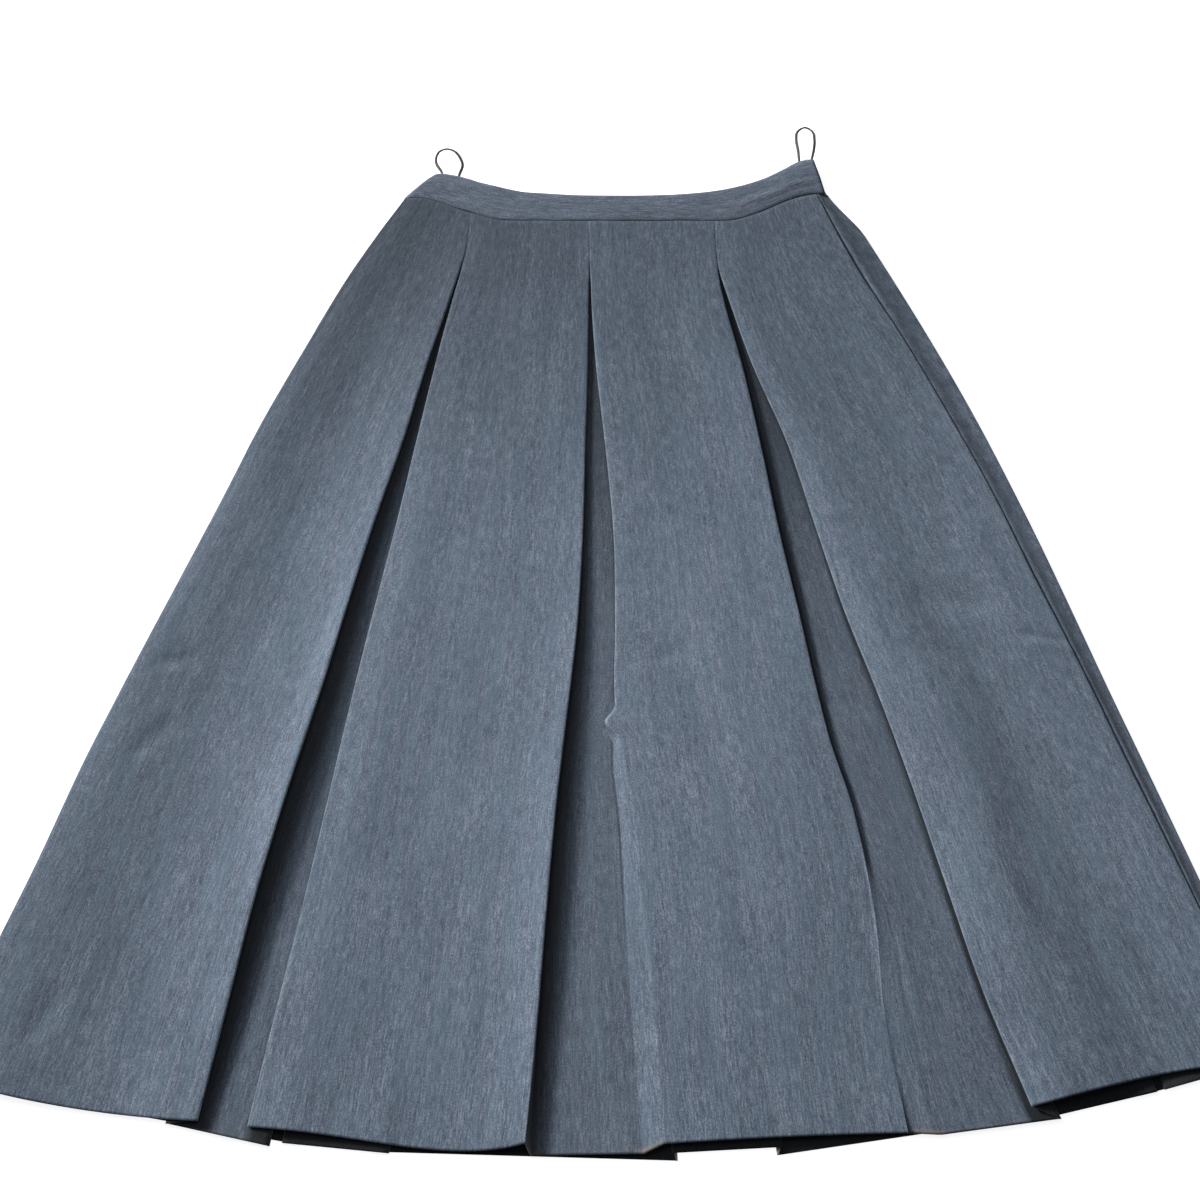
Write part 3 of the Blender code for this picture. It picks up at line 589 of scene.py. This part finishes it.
def band_point(band, level, rolls_up, share, row):
    """A point of a band's middle, this share along it and this share up its depth."""
    width = band.bottom_right - band.bottom_left
    bottom_x = mix(band.bottom_left, band.bottom_right, share)
    top_x = mix(band.top_left, band.top_right, share)
    raised = 1 - smooth((band.bottom_right - bottom_x) / BAND_LIFT_WIDTH)
    corner = 1 - smooth((bottom_x - band.bottom_left) / BAND_CORNER)
    bottom_y = seam_y(bottom_x) + SEAM_ROOM / 2
    top_y = along(TOP_STATIONS, TOP_LINE, top_x) - mix(band.short, band.short_right, raised)
    top_y -= BAND_CORNER / 2 * corner
    x, y = mix(bottom_x, top_x, row), mix(bottom_y, top_y, row)
    end = 1 - smooth(share * width / BAND_END_WIDTH)
    rolled = end * (BAND / 2 + BAND_END_RISE)
    edge = 1 - smooth(min(row, 1 - row) * BAND_DEPTH / BAND_EDGE_WIDTH)
    z = level + band.lift * raised * row
    if rolls_up:
        return x, y, z + rolled
    crown = BAND_CROWN * (1 - (2 * row - 1) ** 2) - BAND_EDGE_DROP * edge
    uneven = BAND_UNEVEN * ripple(x, y, BAND_UNEVEN_SIZE, 3)
    return x, y, z + crown - rolled + uneven + creased(BAND_CREASES, x, y)


def waistband(name, band, level, rolls_up, finishes):
    """One half of the waistband, from its top edge down to the waist seam."""
    points, cloth, shades = [], [], []
    for step in range(BAND_ROWS, -1, -1):
        row = mix(step / BAND_ROWS, smooth(step / BAND_ROWS), GATHERED)
        for column in range(BAND_COLUMNS + 1):
            share = (column / BAND_COLUMNS) ** BAND_LEFT_FINER
            x, y, z = band_point(band, level, rolls_up, share, row)
            points.append((x * MM, (y - MIDDLE_Y) * MM, z * MM))
            cloth.append((row * BAND_DEPTH * MM, x * MM))
            # Painted shade along the band's edge at the waist seam
            shades.append(BAND_SHADE * (1 - smooth(row * BAND_DEPTH / BAND_SHADE_WIDTH)))
    return sheet(name, points, BAND_COLUMNS + 1, cloth, {"shade": shades}, BAND_WALL,
                 not rolls_up, finishes)


# Hanger loops: each tape's line from its left foot round the crown to its right foot

Loop = namedtuple("Loop", "left_foot left_side left_bulge left_shoulder crown "
                          "right_shoulder right_bulge right_side right_foot")
LOOPS = {
    "hanger_loop_left": Loop(
        (-145, 376), (-150, 385.5), (-151.2, 393), (-148.6, 400.5), (-142, 403.7),
        (-134.5, 400.6), (-129.3, 392), (-127.4, 384), (-129.8, 374)),
    "hanger_loop_right": Loop(
        (168.8, 388), (168.6, 400), (167.6, 412), (169.0, 421.5), (176, 426.8),
        (182.8, 422), (183.8, 411.5), (182.4, 401), (179.6, 389)),
}
LOOP_TAPE, LOOP_WIDTH, LOOP_ROOT, LOOP_ROOT_LEAN = 1.4, 2.4, 12.0, 2.0
LOOP_LEVELS = (4.2, 4.2, 3.3, 2.4, 1.8, 1.4, 1.8, 2.4, 3.3, 4.2, 4.2)
LOOP_TWIST = (0, 10, 30, 40, 45, 35, 40, 50, 45, 20, 0)      # degrees from edge-on
LOOP_STEPS, LOOP_STEP_LENGTH = 100, 0.9
LOOP_ROWS, LOOP_EDGES = 4, 0.2   # rows across, and the width that the wall's edges add


def loop_tape(name, loop, finish):
    """A tape that stands nearly on edge and twists as it turns over the crown."""
    (left_x, left_y), (right_x, right_y) = loop.left_foot, loop.right_foot
    stations = [(left_x + LOOP_ROOT_LEAN, left_y - LOOP_ROOT), *loop,
                (right_x - LOOP_ROOT_LEAN, right_y - LOOP_ROOT)]
    rows = list(zip(*stations)) + [LOOP_LEVELS, LOOP_TWIST]
    last = len(stations) - 1
    line = [[along(range(last + 1), row, last * step / LOOP_STEPS) for row in rows]
            for step in range(LOOP_STEPS + 1)]
    points, cloth = [], []
    for row in range(LOOP_ROWS + 1):
        edge = (row / LOOP_ROWS - 0.5) * (LOOP_WIDTH - LOOP_EDGES)
        for step, (x, y, z, twist) in enumerate(line):
            before, after = line[max(0, step - 1)], line[min(LOOP_STEPS, step + 1)]
            course = Vector((after[0] - before[0], after[1] - before[1])).normalized()
            out = edge * math.sin(math.radians(twist))
            points.append(((x + out * course.y) * MM, (y - out * course.x - MIDDLE_Y) * MM,
                           (z + edge * math.cos(math.radians(twist))) * MM))
            cloth.append((edge * MM, step * LOOP_STEP_LENGTH * MM))
    return sheet(name, points, LOOP_STEPS + 1, cloth, {}, LOOP_TAPE, True, (finish,) * 3)


# Finishes

def srgb(code):
    """A colour given as sRGB hex, as Blender's linear values."""
    parts = (int(code[i:i + 2], 16) / 255 for i in (1, 3, 5))
    return tuple(c / 12.92 if c <= 0.04045 else ((c + 0.055) / 1.055) ** 2.4 for c in parts) + (1,)


def add(tree, kind, inputs=None, **settings):
    """Add a node with its settings, and its inputs set or linked."""
    made = tree.nodes.new("ShaderNode" + kind)
    for key, value in settings.items():
        setattr(made, key, value)
    for key, value in (inputs or {}).items():
        if isinstance(value, bpy.types.NodeSocket):
            tree.links.new(value, made.inputs[key])
        else:
            made.inputs[key].default_value = value
    return made


def finish_of(name):
    """A new finish, with its node tree and shader."""
    made = bpy.data.materials.new(name)
    made.use_nodes = True
    return made, made.node_tree, made.node_tree.nodes["Principled BSDF"]


# Grain of the suiting: width across and length along it in mm. Worsted threads stand about
# 0.35 mm apart, too fine to show in a render, so a streak is drawn as three threads side by
# side. The cloth's map is measured at the hem, so near the waist a flared piece reads the
# same streak and slub from wider ones.
STREAK, STREAK_AT_WAIST = (1.1, 10), (2.7, 10)
SLUB, SLUB_AT_WAIST = (3.6, 70), (8.5, 70)
FLECK, DYE_BAND, MOTTLE, HUE_PATCH = (0.9, 1.2), (22, 260), (45, 60), (9, 90)
FLECKED, BROAD, BANDED, MOTTLED = 0.45, 0.32, 0.45, 0.4        # how they are blended
DARK_AT, LIGHT_AT = 0.375, 0.625
HUE_FROM, HUE_TO, HUE_MOST = 0.42, 0.6, 0.25
WAIST_PAINTED_SHADE, WAIST_PAINTED_SHADE_TO = 0.34, 0.42
# Tints of the marks: painted highlight on folds' edges, tan of cut hem edges, painted shade
FOLD_HIGHLIGHT, CUT, SHADED = 0.12, 1.0, 0.9          # how strongly each mark is tinted


def suiting(name, dark, middle, light, flared):
    """Worsted melange suiting, woven of fibres dyed before spinning: a matt, fine salted
    grain that runs with the warp, and broad faint bands of cooler and warmer grey."""
    made, tree, shader = finish_of(name)
    shader.inputs["Roughness"].default_value = 0.82
    shader.inputs["Specular IOR Level"].default_value = 0.25
    shader.inputs["Sheen Weight"].default_value = 0.08
    shader.inputs["Sheen Roughness"].default_value = 0.5
    weave = add(tree, "UVMap", uv_map="cloth").outputs[0]
    place = add(tree, "TexCoord").outputs["Object"]

    def grain(source, across_mm, along_mm, detail):
        scale = (1000 / across_mm, 1000 / along_mm, 1000 / across_mm)
        mapped = add(tree, "Mapping", {"Vector": source, "Scale": scale})
        return add(tree, "TexNoise", {"Vector": mapped.outputs[0], "Scale": 1.0, "Detail": detail,
                                      "Roughness": 0.6}).outputs[0]

    def blend(share, a, b):
        return add(tree, "Mix", {0: share, 2: a, 3: b}, data_type="FLOAT").outputs[0]

    def tint(share, a, code):
        return add(tree, "Mix", {0: share, 6: a, 7: srgb(code)}, data_type="RGBA").outputs[2]

    def mark(label, strength):
        value = add(tree, "Attribute", attribute_name=label).outputs["Fac"]
        return add(tree, "Math", {0: value, 1: strength}, operation="MULTIPLY").outputs[0]

    down = add(tree, "SeparateXYZ", {0: weave}).outputs[1]
    down = add(tree, "Math", {0: down, 1: 1000 / LENGTH}, operation="MULTIPLY").outputs[0]
    streak, slub = grain(weave, *STREAK, 2), grain(weave, *SLUB, 2)
    if flared:
        streak = blend(down, grain(weave, *STREAK_AT_WAIST, 2), streak)
        slub = blend(down, grain(weave, *SLUB_AT_WAIST, 2), slub)
    fleck = grain(place, *FLECK, 1)
    band = grain(weave, *DYE_BAND, 2)
    mottle = grain(place, *MOTTLE, 2)
    fine = blend(FLECKED, streak, fleck)
    tone = blend(BROAD, fine, blend(BANDED, slub, blend(MOTTLED, band, mottle)))
    ramp = add(tree, "ValToRGB", {0: tone})
    ramp.color_ramp.elements[0].position = DARK_AT
    ramp.color_ramp.elements[0].color = srgb(dark)
    ramp.color_ramp.elements[1].position = LIGHT_AT
    ramp.color_ramp.elements[1].color = srgb(light)
    ramp.color_ramp.elements.new(0.5).color = srgb(middle)
    hue = add(tree, "MapRange", {0: grain(weave, *HUE_PATCH, 1), 1: HUE_FROM, 2: HUE_TO,
                                 3: 0, 4: HUE_MOST}).outputs[0]
    colour = tint(hue, ramp.outputs[0], "#5b7280")
    # Painted shade darkens the skirt toward the waist, a painted highlight lightens the edges
    # of its folds, and the cut edges of turned hems are tinted tan
    if flared:
        waist = add(tree, "MapRange", {0: down, 1: 0.0, 2: WAIST_PAINTED_SHADE_TO,
                                       3: WAIST_PAINTED_SHADE, 4: 0.0}).outputs[0]
        colour = tint(waist, colour, "#333c49")
        colour = tint(mark("pressed_highlight", FOLD_HIGHLIGHT), colour, "#a3acb6")
        colour = tint(mark("cut", CUT), colour, "#8b8274")
    # Painted shade: the shade mark darkens the cloth toward near black
    colour = tint(mark("shade", SHADED), colour, "#0c0e11")
    tree.links.new(colour, shader.inputs["Base Color"])
    relief = add(tree, "Bump", {"Height": fine, "Strength": 0.35, "Distance": 0.3 * MM})
    tree.links.new(relief.outputs[0], shader.inputs["Normal"])
    return made


def plain_cloth(name, dark, light, across_mm, along_mm, roughness, sheen):
    """A plain cloth or tape: two close tones in a fine grain of its own size. Its threads are
    0.1 to 0.4 mm thick, so the grain is drawn coarser than they are, or it wouldn't show."""
    made, tree, shader = finish_of(name)
    shader.inputs["Roughness"].default_value = roughness
    shader.inputs["Sheen Weight"].default_value = sheen
    place = add(tree, "TexCoord").outputs["Object"]
    scale = (1000 / across_mm, 1000 / along_mm, 1000 / across_mm)
    mapped = add(tree, "Mapping", {"Vector": place, "Scale": scale}).outputs[0]
    grain = add(tree, "TexNoise", {"Vector": mapped, "Scale": 1.0, "Detail": 2.0}).outputs[0]
    ramp = add(tree, "ValToRGB", {0: grain})
    ramp.color_ramp.elements[0].position = 0.35
    ramp.color_ramp.elements[0].color = srgb(dark)
    ramp.color_ramp.elements[1].position = 0.65
    ramp.color_ramp.elements[1].color = srgb(light)
    tree.links.new(ramp.outputs[0], shader.inputs["Base Color"])
    relief = add(tree, "Bump", {"Height": grain, "Strength": 0.3, "Distance": 0.2 * MM})
    tree.links.new(relief.outputs[0], shader.inputs["Normal"])
    return made


# Worsted melange suiting, its warp down the skirt: matt slate blue, salted with paler fibres
SKIRT_SUITING = suiting("heather_suiting_lengthwise", "#3b4552", "#606a79", "#8792a1", True)
# The same suiting cut across the roll: its grain runs round the waist, and it lies flat and firm
BAND_SUITING = suiting("heather_suiting_crosswise", "#414956", "#606877", "#828a99", False)
# Wrong side of the suiting, only seen deep inside the hem: nearly black, with a dull grain
WRONG_SIDE = plain_cloth("suiting_wrong_side", "#0f1215", "#1a1e23", 1.2, 3.0, 0.9, 0.05)
# Edge of the suiting's thickness, as along the hem: painted dark for the shade that lies along it, with
# a touch of brown
RIM_PAINTED_SHADE = plain_cloth("cloth_rim_painted_shade", "#2c2c2c", "#4a4843", 1.5, 1.5, 0.9, 0.05)
# Polyester satin tape, woven narrow: near black, smoother than the suiting, with a low shine
SATIN_TAPE = plain_cloth("narrow_satin_tape", "#201d24", "#45424b", 4.0, 6.0, 0.65, 0.0)
# Woven polyester zip tape, dyed to match: slate blue, even and matt
ZIP_TAPE = plain_cloth("woven_zip_tape", "#2a2f36", "#3d444d", 1.0, 1.0, 0.7, 0.05)

SKIRT_FINISHES = (SKIRT_SUITING, WRONG_SIDE, RIM_PAINTED_SHADE)
BAND_FINISHES = (BAND_SUITING,) * 3

front = skirt_sheet("front_with_pleats", front_section, 145, True, FRONT_CREASES,
                    SKIRT_FINISHES, 11)
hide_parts("front_panel")

back = skirt_sheet("back_with_pleats", back_section, 80, False, BACK_CREASES, SKIRT_FINISHES, 23)
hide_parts("back_panel")

front_band = waistband("front_waistband", FRONT_BAND, BAND_FRONT_LEVEL, False, BAND_FINISHES)
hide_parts("waistband_front")

back_band = waistband("back_waistband", BACK_BAND, BAND_BACK_LEVEL, True, BAND_FINISHES)
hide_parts("waistband_back")

for node, slot in (("hanger_loop_left", "satin_tape_left"),
                   ("hanger_loop_right", "satin_tape_right")):
    loop_piece = loop_tape(node + "_tape", LOOPS[node], SATIN_TAPE)
    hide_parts(node)

zip_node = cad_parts["side_zip"]
for slot in zip_node.material_slots:
    slot.material = ZIP_TAPE


# Floor, light and camera

FLOOR_REACH, FLOOR_DROP = 4.0, 0.3 * MM


def stage_floor():
    """A plain pale surface just under the skirt, evenly lit."""
    made, _, shader = finish_of("pale_floor")
    shader.inputs["Base Color"].default_value = srgb("#f6f6f6")
    shader.inputs["Roughness"].default_value = 0.9
    shader.inputs["Emission Color"].default_value = srgb("#ffffff")
    shader.inputs["Emission Strength"].default_value = 0.85
    mesh = bpy.data.meshes.new("floor")
    corners = [(-1, -1), (1, -1), (1, 1), (-1, 1)]
    mesh.from_pydata([(x * FLOOR_REACH, y * FLOOR_REACH, -FLOOR_DROP) for x, y in corners], [],
                     [(0, 1, 2, 3)])
    mesh.materials.append(made)
    floor = bpy.data.objects.new("floor", mesh)
    bpy.context.scene.collection.objects.link(floor)


def light_from(name, direction, power, spread):
    """Light from far away, softened over this many degrees."""
    sun = bpy.data.lights.new(name, "SUN")
    sun.energy = power
    sun.angle = math.radians(spread)
    sun.color = (1.0, 0.995, 0.98)
    lamp = bpy.data.objects.new(name, sun)
    lamp.rotation_euler = Vector(direction).to_track_quat("Z", "Y").to_euler()
    bpy.context.scene.collection.objects.link(lamp)


def softbox(name, place, size, power):
    """A square light that faces straight down."""
    panel = bpy.data.lights.new(name, "AREA")
    panel.energy = power
    panel.size = size
    lamp = bpy.data.objects.new(name, panel)
    lamp.location = place
    bpy.context.scene.collection.objects.link(lamp)


stage_floor()
# A low soft light from the upper left models the folds, and a small softbox lights the middle
light_from("window_light", direction=(-0.765, 0.50, 0.405), power=4.95, spread=12)
softbox("overhead_softbox", place=(-0.12, -0.09, 0.62), size=0.35, power=1.3)
world = bpy.data.worlds.new("studio")
world.use_nodes = True
world.node_tree.nodes["Background"].inputs[0].default_value = srgb("#dfeaff")
world.node_tree.nodes["Background"].inputs[1].default_value = 0.093
bpy.context.scene.world = world

lens = bpy.data.cameras.new("camera")
lens.lens = 38.94
lens.sensor_width = 36
camera = bpy.data.objects.new("camera", lens)
camera.location = (-0.0065, -0.3589, 0.9520)
camera.rotation_euler = (math.radians(19.5), 0, 0)
bpy.context.scene.collection.objects.link(camera)
bpy.context.scene.camera = camera
bpy.context.scene.view_settings.view_transform = "Standard"
